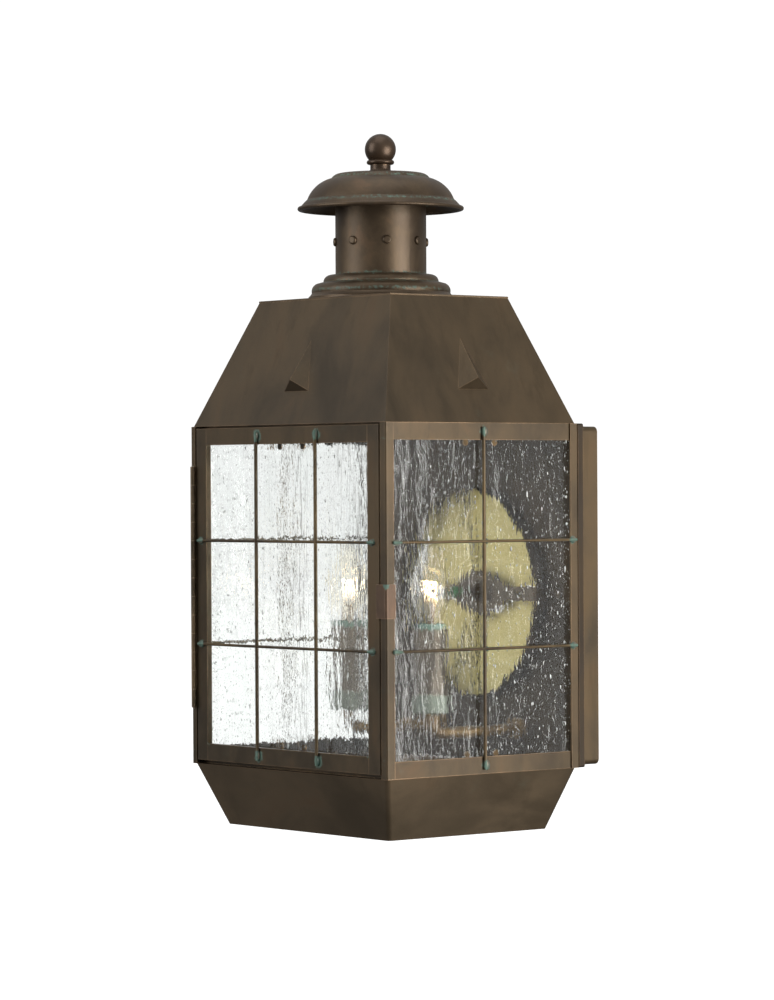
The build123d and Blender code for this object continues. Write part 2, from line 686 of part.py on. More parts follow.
# ================================================================ lamps on their arms
candle_out = mid - 6.5
arm_bore = 2.8
arm_bend = 10.0
bend_share = 1 - cos(radians(45))          # an arc's middle, as a share of its radius from its corner
cup_z = z_bot + 38.0
cup_r = 12.7
cup_h = 13.5
sleeve_r = 10.8
sleeve_t = 1.2
sleeve_top = z_bot + 101.0
socket_r = 8.6
socket_top = sleeve_top - 4.0
bulb_base_r = 5.9
bulb_neck_z = socket_top + 3.0
bulb_r = 14.2
bulb_wide_z = bulb_neck_z + 22.0
bulb_tip_z = 40.0
bulb_t = 0.8


def candle_point(side, z):
    return (side * arm_x, -candle_out, z)


def bulb_line(side, inset):
    # half the outline of a torpedo bulb, from its neck to its tip
    x, z = side * arm_x, bulb_neck_z
    Spline((x + bulb_base_r - inset, z), (x + 9.8 - inset, z + 8.5), (x + bulb_r - inset, bulb_wide_z),
           (x + 9.2 - inset, bulb_wide_z + 21.0), (x, bulb_tip_z - inset),
           tangents=((0.35, 1), (-1, 0.55)))


def bulb_solid(side, inset, mode):
    x = side * arm_x
    with BuildSketch(Plane(origin=(0, -candle_out, 0), x_dir=(1, 0, 0), z_dir=(0, -1, 0))) as half:
        with BuildLine():
            bulb_line(side, inset)
            Polyline((x, bulb_tip_z - inset), (x, bulb_neck_z), (x + bulb_base_r - inset, bulb_neck_z))
        make_face()
    revolve(half.sketch, axis=Axis((x, -candle_out, 0), (0, 0, 1)), mode=mode)


for side_name, side in sides.items():
    x = side * arm_x

    with BuildPart() as candle_arm:
        with BuildLine() as arm_path:
            Line((x, -(pan_front - sheet - 1.5), arm_z), (x, -(candle_out - arm_bend), arm_z))
            ThreePointArc(
                (x, -(candle_out - arm_bend), arm_z),
                (x, -(candle_out - arm_bend * bend_share), arm_z + arm_bend * bend_share),
                (x, -candle_out, arm_z + arm_bend),
            )
            Line((x, -candle_out, arm_z + arm_bend), (x, -candle_out, cup_z + 2 * sheet + 1.4))
        with BuildSketch(Plane(origin=(x, -(pan_front - sheet - 1.5), arm_z), z_dir=(0, -1, 0))):
            Circle(arm_r)
            Circle(arm_bore, mode=Mode.SUBTRACT)
        sweep()
    save(candle_arm, f"candle_arm_{side_name}")

    with BuildPart() as candle_cup:
        with BuildSketch(Plane(origin=(0, -candle_out, 0), x_dir=(1, 0, 0), z_dir=(0, -1, 0))):
            with BuildLine():
                low, top = cup_z, cup_z + cup_h
                Line((x + arm_r + fit, low), (x + 10.6, low))
                ThreePointArc((x + 10.6, low), (x + 11.8, low + 0.6), (x + 12.3, low + 2.0))
                Line((x + 12.3, low + 2.0), (x + cup_r, top))
                Line((x + cup_r, top), (x + cup_r - 0.9, top))
                Line((x + cup_r - 0.9, top), (x + 11.3, low + 2.4))
                ThreePointArc((x + 11.3, low + 2.4), (x + 11.0, low + 1.5), (x + 10.2, low + sheet))
                Polyline((x + 10.2, low + sheet), (x + arm_r + fit, low + sheet), (x + arm_r + fit, low))
            make_face()
        revolve(axis=Axis((x, -candle_out, 0), (0, 0, 1)))
    save(candle_cup, f"candle_cup_{side_name}")

    with BuildPart() as candle_sleeve:
        rod(candle_point(side, cup_z + 3.2), candle_point(side, sleeve_top), sleeve_r)
        rod(candle_point(side, cup_z + 3.2), candle_point(side, sleeve_top), sleeve_r - sleeve_t,
            mode=Mode.SUBTRACT)
    save(candle_sleeve, f"candle_sleeve_{side_name}")

    with BuildPart() as lamp_socket:
        rod(candle_point(side, cup_z + sheet), candle_point(side, socket_top), socket_r)
        rod(candle_point(side, cup_z + sheet), candle_point(side, cup_z + 5.0), arm_r + fit,
            mode=Mode.SUBTRACT)
        rod(candle_point(side, socket_top - 24), candle_point(side, socket_top), bulb_base_r + 0.15,
            mode=Mode.SUBTRACT)
    save(lamp_socket, f"lamp_socket_{side_name}")

    with BuildPart() as bulb_cap:
        rod(candle_point(side, socket_top - 20), candle_point(side, bulb_neck_z), bulb_base_r)
        rod(candle_point(side, socket_top - 24), candle_point(side, socket_top - 20), 2.6)
    save(bulb_cap, f"bulb_cap_{side_name}")

    with BuildPart() as bulb_glass:
        bulb_solid(side, 0, Mode.ADD)
        bulb_solid(side, bulb_t, Mode.SUBTRACT)
    save(bulb_glass, f"bulb_glass_{side_name}")

with BuildPart() as bulb_filaments:
    for side in sides.values():
        x = side * arm_x
        rod((x, -candle_out, bulb_neck_z), (x, -candle_out, bulb_neck_z + 14), 2.0)
        for lean in (-1, 1):
            foot = (x + lean * 1.2, -candle_out, bulb_neck_z + 13)
            rod(foot, (x + lean * 5.0, -candle_out, bulb_neck_z + 30), 0.5)
        rod((x - 5.2, -candle_out, bulb_neck_z + 30), (x + 5.2, -candle_out, bulb_neck_z + 30), 0.7)
save(bulb_filaments, "bulb_filaments")

boss_r = 7.5
with BuildPart() as arm_bosses:
    for side in sides.values():
        with BuildSketch(Plane.XZ.offset(rear)):
            with Locations((side * arm_x, arm_z)):
                Circle(boss_r)
                Circle(arm_r + fit, mode=Mode.SUBTRACT)
        extrude(amount=3.0)
    fillet(arm_bosses.edges().group_by(Axis.Y)[0].filter_by(lambda e: e.radius > arm_r + 1), 1.6)
save(arm_bosses, "arm_bosses")

# leads: two from the arms' rear ends and the ground lead from the pan,
# all out through the pad's centre hole
lead_r = 1.1
lead_run_out = sheet + pad_t + 2.6
lead_exit_out = sheet + 0.4
lead_routes = [
    [(-arm_x, -(rear + 12), arm_z), (-arm_x, -lead_run_out, arm_z), (-40, -lead_run_out, -66),
     (-22, -lead_run_out, -38), (-9, -lead_run_out, -9), (-8, -lead_exit_out, -5)],
    [(arm_x, -(rear + 12), arm_z), (arm_x, -lead_run_out, arm_z), (0, -lead_run_out, -88),
     (-18, -lead_run_out, -58), (2, -lead_run_out, -14), (5, -lead_exit_out, -8)],
    [(-28, -(pan_front - sheet), 84), (-28, -lead_run_out, 84), (-20, -lead_run_out, 50),
     (-10, -lead_run_out, 28), (-4, -lead_run_out, 9), (-3, -lead_exit_out, 5)],
]
with BuildPart() as lead_wires:
    for route in lead_routes:
        with BuildLine():
            FilletPolyline(*route, radius=[3.2, 14, 20, 3.0])
        with BuildSketch(Plane(origin=route[0], z_dir=(0, 1, 0))):
            Circle(lead_r)
        sweep()
save(lead_wires, "lead_wires")
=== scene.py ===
import bpy
import math
import random
from mathutils import Matrix, Vector


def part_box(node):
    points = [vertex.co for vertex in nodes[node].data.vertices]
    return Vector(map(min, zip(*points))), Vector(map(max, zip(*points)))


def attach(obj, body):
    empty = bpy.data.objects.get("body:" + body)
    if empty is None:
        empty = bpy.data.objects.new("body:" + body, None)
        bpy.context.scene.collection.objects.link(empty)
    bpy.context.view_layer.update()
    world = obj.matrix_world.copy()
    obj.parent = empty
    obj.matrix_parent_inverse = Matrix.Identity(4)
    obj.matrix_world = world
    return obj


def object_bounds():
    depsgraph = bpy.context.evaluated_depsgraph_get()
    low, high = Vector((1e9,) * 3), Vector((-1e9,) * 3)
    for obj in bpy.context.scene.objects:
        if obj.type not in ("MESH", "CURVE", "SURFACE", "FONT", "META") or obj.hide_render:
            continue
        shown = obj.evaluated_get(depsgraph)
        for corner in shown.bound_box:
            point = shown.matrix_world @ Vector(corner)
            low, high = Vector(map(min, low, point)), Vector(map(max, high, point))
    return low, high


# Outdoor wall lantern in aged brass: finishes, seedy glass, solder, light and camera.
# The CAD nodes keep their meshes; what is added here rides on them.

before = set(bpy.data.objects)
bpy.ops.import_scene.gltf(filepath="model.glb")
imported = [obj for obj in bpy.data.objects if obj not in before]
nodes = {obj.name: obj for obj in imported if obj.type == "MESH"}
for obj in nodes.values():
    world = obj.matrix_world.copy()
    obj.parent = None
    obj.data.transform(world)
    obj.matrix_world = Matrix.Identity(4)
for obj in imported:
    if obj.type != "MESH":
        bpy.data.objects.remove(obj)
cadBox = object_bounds()


def srgb(red, green, blue):
    linear = [(c / 255) ** 2.2 for c in (red, green, blue)]
    return (*linear, 1)


class Wire:
    # a socket that can be added, multiplied and compared, each time through a Math node
    def __init__(self, tree, socket):
        self.tree = tree
        self.socket = socket

    def math(self, how, first, second=0.0, third=0.0):
        made = self.tree.nodes.new("ShaderNodeMath")
        made.operation = how
        for spot, value in enumerate((first, second, third)):
            if isinstance(value, Wire):
                self.tree.links.new(value.socket, made.inputs[spot])
            else:
                made.inputs[spot].default_value = value
        return Wire(self.tree, made.outputs[0])

    def __add__(self, other):
        return self.math("ADD", self, other)

    __radd__ = __add__

    def __sub__(self, other):
        return self.math("SUBTRACT", self, other)

    def __rsub__(self, other):
        return self.math("SUBTRACT", other, self)

    def __mul__(self, other):
        return self.math("MULTIPLY", self, other)

    __rmul__ = __mul__

    def __pow__(self, other):
        return self.math("POWER", self, other)

    def __abs__(self):
        return self.math("ABSOLUTE", self)

    def most(self, other):
        return self.math("MAXIMUM", self, other)

    def least(self, other):
        return self.math("MINIMUM", self, other)


class Shader:
    # a node tree being written; every node but Math comes from node()
    def __init__(self, tree, ending):
        self.tree = tree
        tree.nodes.clear()
        self.ending = tree.nodes.new(ending)

    def node(self, kind, settings=None, sockets=None, out=0):
        made = self.tree.nodes.new("ShaderNode" + kind)
        for key, value in (settings or {}).items():
            setattr(made, key, value)
        for key, value in (sockets or {}).items():
            if isinstance(value, Wire):
                self.tree.links.new(value.socket, made.inputs[key])
            else:
                made.inputs[key].default_value = value
        return Wire(self.tree, made.outputs[out])

    def finish(self, surface):
        self.tree.links.new(surface.socket, self.ending.inputs["Surface"])

    def place(self):
        return self.node("TexCoord", out="Object")

    def axes(self):
        place = self.place()
        return [self.node("SeparateXYZ", None, {0: place}, out=k) for k in range(3)]

    def mix(self, share, low, high, how="MIX"):
        return self.node("Mix", {"data_type": "RGBA", "blend_type": how}, {0: share, 6: low, 7: high}, out=2)

    def between(self, value, low, high, start=0.0, end=1.0):
        return self.node("MapRange", {"interpolation_type": "SMOOTHSTEP"},
                         {0: value, 1: low, 2: high, 3: start, 4: end})

    def noise(self, scale, detail=4.0, rough=0.55, stretch=(1, 1, 1), shift=(0, 0, 0), warp=0.0):
        place = self.node("Mapping", None, {"Vector": self.place(), "Location": shift, "Scale": stretch})
        return self.node("TexNoise", None, {"Vector": place, "Scale": scale, "Detail": detail,
                                            "Roughness": rough, "Distortion": warp})

    def near(self, points, reach, weights=(1, 1, 1)):
        # 1 at each of the points, 0 from reach on; both sides of the lantern are alike, so x is folded
        x, y, z = self.axes()
        nearest = None
        for point in points:
            gaps = [((abs(x) if k == 0 and weights[0] == "both" else axis) - point[k])
                    for k, axis in enumerate((x, y, z))]
            far = gaps[1] * gaps[1] + gaps[2] * gaps[2]
            if weights[0] != 0:
                far = far + gaps[0] * gaps[0]
            nearest = far if nearest is None else nearest.least(far)
        return self.between(nearest ** 0.5, reach, 0.0)

    def edges(self, radius):
        # 1 along folds and cut edges, by how much a rounded normal leaves the flat one
        rounded = self.node("Bevel", {"samples": 4}, {"Radius": radius})
        flat = self.node("NewGeometry", out="Normal")
        turn = self.node("VectorMath", {"operation": "DOT_PRODUCT"}, {0: rounded, 1: flat}, out="Value")
        return self.between(turn, 0.985, 0.86)


def material(name):
    made = bpy.data.materials.new(name)
    made.use_nodes = True
    return made, Shader(made.node_tree, "ShaderNodeOutputMaterial")


def dress(made, *names):
    # puts one material on CAD nodes
    for name in names:
        mesh = nodes[name].data
        mesh.materials.clear()
        mesh.materials.append(made)


def middle(node):
    low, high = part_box(node)
    return (low + high) / 2


# ---- places read from the frame
postLow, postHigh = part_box("post_front_right")
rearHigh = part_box("post_rear_right")[1]
wireLow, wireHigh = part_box("side_wires_right")
doorWireLow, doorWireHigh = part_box("door_wires_horizontal")
doorUpLow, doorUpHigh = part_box("door_wires_vertical")
glassTop, glassFoot = postHigh.z, postLow.z


def levels(node, axis, side, keep):
    # the two places along the axis keep where a pair of wires reaches the edge of the node's box
    low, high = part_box(node)
    edge = (low, high)[side][axis]
    found = [v.co[keep] for v in nodes[node].data.vertices if abs(v.co[axis] - edge) < 0.0004]
    middleGap = (min(found) + max(found)) / 2
    lower = [f for f in found if f < middleGap]
    upper = [f for f in found if f >= middleGap]
    return (min(lower) + max(lower)) / 2, (min(upper) + max(upper)) / 2


crossLevels = levels("side_wires_right", 1, 0, 2)
doorLevels = levels("door_wires_horizontal", 0, 0, 2)
doorUprights = levels("door_wires_vertical", 2, 0, 0)
sideMiddle = middle("side_wires_right").y
print("wire levels", crossLevels, doorLevels, "door uprights", doorUprights)

sideEnds = [(wireHigh.x, y, z) for y in (wireLow.y + 0.003, wireHigh.y - 0.003) for z in crossLevels]
uprightEnds = [(wireHigh.x, sideMiddle, z) for z in (wireLow.z + 0.003, wireHigh.z - 0.003)]
doorEnds = [(x, doorWireLow.y, z)
            for x in (doorWireLow.x + 0.003, doorWireHigh.x - 0.003) for z in doorLevels]
doorTips = [(x, doorUpLow.y, z) for x in doorUprights for z in (doorUpLow.z + 0.003, doorUpHigh.z - 0.003)]

# ---- aged brass
verdigris = srgb(60, 84, 75)
paleVerdigris = srgb(102, 124, 110)


def agedBrass(name, look, greenAt=None):
    made, skin = material(name)
    cloud = skin.noise(look["cloud"], 3, 0.5, shift=look.get("shift", (0, 0, 0)))
    mottle = skin.noise(look["mottle"], 6, 0.62, stretch=look.get("stretch", (1, 1, 0.6)), warp=0.4)
    grain = skin.noise(1500, 3, 0.6)
    runs = skin.noise(90, 4, 0.6, stretch=(1, 1, 0.12))
    tone = skin.between(cloud * 0.6 + mottle * 0.4, 0.36, 0.64)
    colour = skin.mix(tone, look["dark"], look["light"])
    colour = skin.mix(skin.between(mottle, 0.56, 0.74) * look.get("redShare", 0.35), colour, look["red"])
    colour = skin.mix(skin.between(runs, 0.52, 0.72) * look.get("runShare", 0.3), colour, look["dark"])
    colour = skin.mix(skin.between(grain, 0.6, 0.74) * 0.35, colour, look["light"])
    # brighter along folds and cut edges: partly rubbed wear, partly a painted highlight on the rounded folds
    rubAndHighlight = skin.edges(look.get("fold", 0.0009)) * skin.between(mottle + grain * 0.4, 0.5, 0.85, 0.25, 1.0)
    colour = skin.mix(rubAndHighlight * look.get("wearAndHighlight", 0.7), colour, look["bright"])
    metallic = skin.between(tone + rubAndHighlight, 0.0, 1.4, look["metallic"] - 0.12, look["metallic"] + 0.12)
    rough = skin.between(mottle, 0.3, 0.7, look["rough"] - 0.07, look["rough"] + 0.07)
    rough = rough - rubAndHighlight * 0.1
    film = skin.noise(look["mottle"] * 1.7, 5, 0.6, shift=(3, 5, 7))
    haze = skin.between(film, 0.6, 0.8) * look.get("haze", 0.25)
    if greenAt is not None:
        ragged = skin.noise(420, 5, 0.65, shift=(1, 2, 3))
        haze = haze.most(skin.between(greenAt(skin) + (ragged - 0.5) * 0.9, 0.34, 0.62))
    colour = skin.mix(haze, colour, skin.mix(skin.noise(600, 3), verdigris, paleVerdigris))
    metallic = metallic * (1 - haze * 0.85)
    rough = rough + haze * 0.25
    relief = mottle * 0.5 + grain * 0.22 + cloud * 0.6 + haze * 0.5
    bump = skin.node("Bump", None, {"Strength": 0.35, "Distance": 0.0006, "Height": relief})
    skin.finish(skin.node("BsdfPrincipled", None, {
        "Base Color": colour, "Metallic": metallic, "Roughness": rough, "Normal": bump,
        "Coat Weight": 0.12, "Coat Roughness": 0.35}))
    return made


bronze = {"dark": srgb(60, 51, 38), "light": srgb(92, 78, 60), "red": srgb(88, 67, 50),
          "bright": srgb(158, 130, 102), "cloud": 9.0, "mottle": 38.0, "metallic": 0.72, "rough": 0.46,
          "wearAndHighlight": 0.55, "haze": 0.1}

cageJoints = [(0.111, y, z) for y in (postLow.y, rearHigh.y) for z in (glassTop - 0.011, glassFoot + 0.011)]


def cageGreen(skin):
    wires = skin.near(sideEnds, 0.0062, ("both", 1, 1))
    tips = skin.near(uprightEnds, 0.0085, ("both", 1, 1))
    joints = skin.near(cageJoints, 0.009, (0, 1, 1)) * 0.34
    return wires.most(tips).most(joints)


def doorGreen(skin):
    ends = skin.near(doorEnds, 0.0062)
    tips = skin.near(doorTips, 0.0095)
    railLow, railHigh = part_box("door_rail_top")
    corners = [(x, postLow.y, z) for x in (railLow.x + 0.012, railHigh.x - 0.012)
               for z in (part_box("door_rail_bottom")[1].z, railLow.z)]
    return ends.most(tips).most(skin.near(corners, 0.007) * 0.4)


def stepGreen(heights, reach):
    # green in the hollows of a turned piece, which lie at these heights
    def mask(skin):
        z = skin.axes()[2]
        found = None
        for height in heights:
            band = skin.between(abs(z - height), reach, 0.0)
            found = band if found is None else found.most(band)
        return found * 0.43
    return mask


capLow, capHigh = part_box("chimney_cap")
ringLow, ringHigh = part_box("chimney_base_ring")
clipLow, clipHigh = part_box("latch_clip")

cageBrass = agedBrass("cageBrass", dict(bronze, wearAndHighlight=0.75, fold=0.0011), cageGreen)
doorBrass = agedBrass("doorBrass", dict(bronze, shift=(2, 1, 0), wearAndHighlight=0.7), doorGreen)
roofBrass = agedBrass("roofBrass", dict(bronze, cloud=6.0, mottle=26.0, shift=(4, 0, 2), rough=0.42,
                                        stretch=(1, 1, 0.35)))
# lighter than the other brass: painted light, making up for the downward-tilted base faces catching less
# light
baseBrassPaintedLight = agedBrass("baseBrassPaintedLight", dict(bronze, cloud=7.0, mottle=24.0, shift=(7, 2, 1),
                                        dark=srgb(78, 67, 52), light=srgb(114, 98, 78),
                                        stretch=(0.5, 0.5, 1)))
chimneyBrass = agedBrass(
    "chimneyBrass",
    dict(bronze, light=srgb(114, 97, 76), dark=srgb(70, 58, 45), red=srgb(112, 84, 64), redShare=0.5,
         shift=(1, 6, 3), metallic=0.8, rough=0.42),
    stepGreen((capLow.z + 0.0065, capHigh.z - 0.0035, ringLow.z + 0.006, ringLow.z + 0.0115, ringHigh.z),
              0.0042))
finialBrass = agedBrass("finialBrass", dict(bronze, light=srgb(98, 80, 64), dark=srgb(66, 54, 44),
                                            red=srgb(102, 76, 58), metallic=0.8, rough=0.38))
panBrass = agedBrass("panBrass", dict(bronze, light=srgb(92, 77, 57), shift=(5, 5, 5), rough=0.5))
panelBrass = agedBrass("panelBrass", dict(bronze, dark=srgb(40, 33, 26), light=srgb(64, 54, 42),
                                          shift=(5, 5, 5), rough=0.55, haze=0.04))
wireBrass = agedBrass("wireBrass", dict(bronze, light=srgb(106, 90, 66), dark=srgb(62, 52, 40), mottle=120.0,
                                        wearAndHighlight=0.35, haze=0.18),
                      lambda skin: skin.near(sideEnds + uprightEnds, 0.0075, ("both", 1, 1)).most(
                          skin.near(doorEnds + doorTips, 0.0075)))
hingeBrass = agedBrass("hingeBrass", dict(bronze, light=srgb(120, 102, 80), mottle=90.0, wearAndHighlight=0.8))
clipBrass = agedBrass("clipBrass", dict(bronze, light=srgb(118, 94, 74), dark=srgb(78, 62, 50), mottle=70.0,
                                        wearAndHighlight=0.9),
                      lambda skin: skin.near([(clipHigh.x, clipLow.y, clipHigh.z)], 0.006))
armBrass = agedBrass("armBrass", dict(bronze, light=srgb(150, 122, 70), dark=srgb(84, 66, 42), mottle=80.0))
cupBrass = agedBrass("cupBrass", dict(bronze, light=srgb(112, 120, 106), dark=srgb(86, 92, 82), metallic=0.3,
                                      mottle=110.0, haze=0.5, rough=0.6))
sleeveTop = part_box("candle_sleeve_right")[1].z
sleeveBronze = agedBrass(
    "sleeveBronze",
    dict(bronze, light=srgb(98, 87, 72), dark=srgb(66, 58, 48), red=srgb(80, 68, 55),
         mottle=60.0, metallic=0.7, rough=0.4, stretch=(1, 1, 0.3)),
    lambda skin: skin.between(skin.axes()[2], sleeveTop - 0.007, sleeveTop - 0.002) * 0.7)
tabBrass = agedBrass("tabBrass", dict(bronze, light=srgb(138, 112, 78), mottle=120.0))

dress(cageBrass, "post_front_left", "post_front_right", "post_rear_left", "post_rear_right",
      "side_rail_left_top", "side_rail_left_bottom", "side_rail_right_top", "side_rail_right_bottom",
      "door_stops")
dress(doorBrass, "door_stile_left", "door_stile_right", "door_rail_top", "door_rail_bottom")
dress(roofBrass, "roof_shell", "roof_top_plate")
dress(baseBrassPaintedLight, "base_pan")
dress(chimneyBrass, "chimney_base_ring", "chimney_tube", "chimney_rivets", "chimney_cap", "cap_bracket")
dress(finialBrass, "finial")
dress(panBrass, "back_pan")
dress(panelBrass, "back_panel", "opening_collar")
dress(wireBrass, "side_wires_left", "side_wires_right", "door_wires_vertical", "door_wires_horizontal")
dress(hingeBrass, "hinge_leaf_body", "hinge_leaf_door")
dress(clipBrass, "latch_clip")
dress(armBrass, "candle_arm_left", "candle_arm_right", "arm_bosses")
dress(cupBrass, "candle_cup_left", "candle_cup_right")
dress(sleeveBronze, "candle_sleeve_left", "candle_sleeve_right")
dress(tabBrass, "side_glass_tabs", "door_glass_tabs")
print("brass finishes made")


# ---- plain metals, fibre, plastic
def plainSteel(name, colour, rough, metallic=0.9):
    made, skin = material(name)
    brushed = skin.noise(700, 4, 0.6, stretch=(0.15, 1, 1))
    rust = skin.between(skin.noise(160, 5, 0.6), 0.58, 0.72)
    tint = skin.mix(skin.between(brushed, 0.35, 0.65), tuple(c * 0.75 for c in colour[:3]) + (1,), colour)
    tint = skin.mix(rust * 0.5, tint, srgb(104, 78, 56))
    bump = skin.node("Bump", None, {"Strength": 0.3, "Distance": 0.0002, "Height": brushed + rust})
    skin.finish(skin.node("BsdfPrincipled", None, {
        "Base Color": tint, "Metallic": metallic, "Normal": bump,
        "Roughness": skin.between(brushed, 0.3, 0.7, rough, rough + 0.15)}))
    return made


def fibrePad():
    made, skin = material("fibrePad")
    strands = skin.noise(520, 5, 0.7, stretch=(1, 1, 0.3), warp=1.2)
    crossed = skin.noise(480, 5, 0.7, stretch=(0.3, 1, 1), shift=(4, 4, 4), warp=1.2)
    stain = skin.between(skin.noise(14, 5, 0.6), 0.42, 0.68)
    weave = strands.most(crossed)
    colour = skin.mix(skin.between(weave, 0.42, 0.66), srgb(196, 180, 112), srgb(232, 219, 160))
    colour = skin.mix(stain * 0.3, colour, srgb(188, 168, 104))
    bump = skin.node("Bump", None, {"Strength": 0.6, "Distance": 0.0006, "Height": weave})
    skin.finish(skin.node("BsdfPrincipled", None, {
        "Base Color": colour, "Roughness": skin.between(weave, 0.3, 0.7, 0.95, 0.82), "Normal": bump}))
    return made


def plastic(name, light, dark, rough):
    made, skin = material(name)
    smear = skin.noise(60, 4, 0.6, stretch=(1, 1, 0.3))
    fine = skin.noise(900, 3, 0.6)
    colour = skin.mix(skin.between(smear * 0.7 + fine * 0.3, 0.38, 0.62), dark, light)
    bump = skin.node("Bump", None, {"Strength": 0.18, "Distance": 0.0003, "Height": fine + smear})
    skin.finish(skin.node("BsdfPrincipled", None, {
        "Base Color": colour, "Normal": bump,
        "Roughness": skin.between(smear, 0.3, 0.7, rough, rough + 0.15)}))
    return made


def litFilament():
    made, skin = material("litFilament")
    z = skin.axes()[2]
    low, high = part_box("bulb_filaments")
    hot = skin.between(z, low.z + 0.014, low.z + 0.024)
    flicker = skin.between(skin.noise(900, 2), 0.3, 0.7, 0.8, 1.0)
    colour = skin.mix(hot, srgb(120, 96, 70), srgb(255, 226, 170))
    skin.finish(skin.node("BsdfPrincipled", None, {
        "Base Color": colour, "Roughness": skin.between(flicker, 0.8, 1.0, 0.4, 0.6),
        "Emission Color": skin.mix(hot * flicker, (0, 0, 0, 1), (1.0, 0.74, 0.42, 1)),
        "Emission Strength": 16.0}))
    return made


dress(fibrePad(), "insulation_pad")
dress(plainSteel("crossbarSteel", srgb(92, 84, 74), 0.42), "crossbar", "wiring_nipple", "nipple_nut",
      "crossbar_rivets")
dress(plainSteel("studSteel", srgb(150, 142, 128), 0.34), "cap_stud", "hinge_pin")
dress(plainSteel("lampCap", srgb(196, 172, 122), 0.28), "bulb_cap_left", "bulb_cap_right")
dress(plainSteel("groundGreen", srgb(38, 110, 52), 0.4, 0.15), "ground_screw")
dress(plastic("leadBlack", srgb(40, 38, 36), srgb(24, 23, 22), 0.5), "lead_wires")
dress(plastic("socketBlack", srgb(44, 41, 38), srgb(26, 24, 22), 0.38), "lamp_socket_left",
      "lamp_socket_right")
dress(litFilament(), "bulb_filaments")


# ---- glass
def clearGlass(name, look):
    # uneven drawn glass: it bends what is seen through it, and lamps reach through it unbent
    made, skin = material(name)
    wave = skin.noise(look["wave"], 3, 0.5, stretch=look["drawn"])
    ripple = skin.noise(look["wave"] * 4.5, 3, 0.6, stretch=look["drawn"], shift=(3, 1, 2))
    bump = skin.node("Bump", None, {"Strength": look["strength"], "Distance": look["depth"],
                                    "Height": wave + ripple * look["ripple"]})
    bent = skin.node("BsdfPrincipled", None, {
        "Base Color": skin.mix(wave, look["tint"], (1, 1, 1, 1)), "Roughness": look["rough"], "IOR": 1.45,
        "Transmission Weight": 1.0, "Normal": bump})
    clear = skin.node("BsdfTransparent", None, {"Color": (0.96, 0.97, 0.96, 1)})
    rays = skin.node("LightPath", out="Is Shadow Ray")
    surface = skin.node("MixShader", None, {0: rays, 1: bent, 2: clear})
    if look.get("haze"):
        streak = skin.noise(210, 5, 0.7, stretch=look["run"], warp=0.3)
        patch = skin.noise(16, 3, 0.5, shift=(look["patch"], 0, 2))
        grit = skin.noise(1300, 2, 0.5, stretch=look["grit"])
        haze = skin.between(streak, 0.55, 0.8) * skin.between(patch, 0.38, 0.62, 0.25, 1.0) * look["haze"]
        haze = haze + skin.between(grit, 0.66, 0.78) * look["gritShare"]
        if look.get("crackle"):
            x = skin.axes()[0]
            middleBand = skin.between(abs(x - look["streakAt"]), 0.012, 0.0)
            rightPart = skin.between(x, look["streakAt"] + 0.02, look["streakAt"] + 0.07)
            drawnLine = skin.noise(520, 4, 0.7, stretch=(1, 5, 0.07), warp=0.8)
            lines = skin.between(drawnLine, 0.53, 0.62) * middleBand.most(rightPart)
            speck = skin.between(skin.noise(1700, 2, 0.5, shift=(6, 0, 1)), 0.62, 0.68)
            haze = haze + (lines + speck * (0.3 + 0.7 * rightPart)) * look["crackle"]
        dust = skin.node("BsdfPrincipled", None, {
            "Base Color": skin.mix(patch, look["dustDark"], look["dustLight"]), "Roughness": 0.5})
        surface = skin.node("MixShader", None, {0: haze, 1: surface, 2: dust})
    skin.finish(surface)
    return made


pane = {"wave": 42.0, "depth": 0.0016, "strength": 0.55, "ripple": 0.25, "rough": 0.0,
        "tint": srgb(246, 250, 248), "haze": 0.13, "gritShare": 0.26,
        "dustDark": srgb(112, 112, 116), "dustLight": srgb(164, 167, 174)}
sidePane = dict(pane, drawn=(5, 1, 0.35), run=(5, 1, 0.1), grit=(1, 1, 0.55), patch=2)
doorPane = dict(pane, drawn=(1, 5, 0.35), run=(1, 5, 0.1), grit=(1, 1, 0.55), patch=9,
                haze=0.22, gritShare=0.42, crackle=0.55, streakAt=0.012,
                dustDark=srgb(84, 82, 78), dustLight=srgb(140, 138, 134))
dress(clearGlass("sidePaneGlass", sidePane), "side_glass_left", "side_glass_right")
dress(clearGlass("doorPaneGlass", doorPane), "door_glass")
dress(clearGlass("bulbGlass", {"wave": 60.0, "depth": 0.0003, "strength": 0.1, "ripple": 0.2, "rough": 0.02,
                               "tint": srgb(252, 246, 232), "drawn": (1, 1, 1)}),
      "bulb_glass_left", "bulb_glass_right")


def seedMaterial():
    made, skin = material("seedGlass")
    shade = skin.noise(240, 3)
    skin.finish(skin.node("BsdfPrincipled", None, {
        "Base Color": skin.mix(skin.between(shade, 0.35, 0.65), srgb(112, 112, 110), srgb(190, 192, 190)),
        "Roughness": skin.between(shade, 0.3, 0.7, 0.12, 0.3)}))
    return made


seedGlass = seedMaterial()


def oneSeed():
    # an air bubble drawn out upright; a few dozen faces, because it is repeated
    bpy.ops.object.select_all(action="DESELECT")
    bpy.ops.mesh.primitive_ico_sphere_add(subdivisions=1, radius=1, location=(0, 0, 0))
    bpy.ops.object.mode_set(mode="EDIT")
    bpy.ops.mesh.select_all(action="SELECT")
    bpy.ops.transform.resize(value=(1, 1, 1.25))
    bpy.ops.object.mode_set(mode="OBJECT")
    seed = bpy.context.object
    points = [v.co.copy() for v in seed.data.vertices]
    faces = [tuple(p.vertices) for p in seed.data.polygons]
    bpy.data.objects.remove(seed)
    return points, faces


seedPoints, seedFaces = oneSeed()


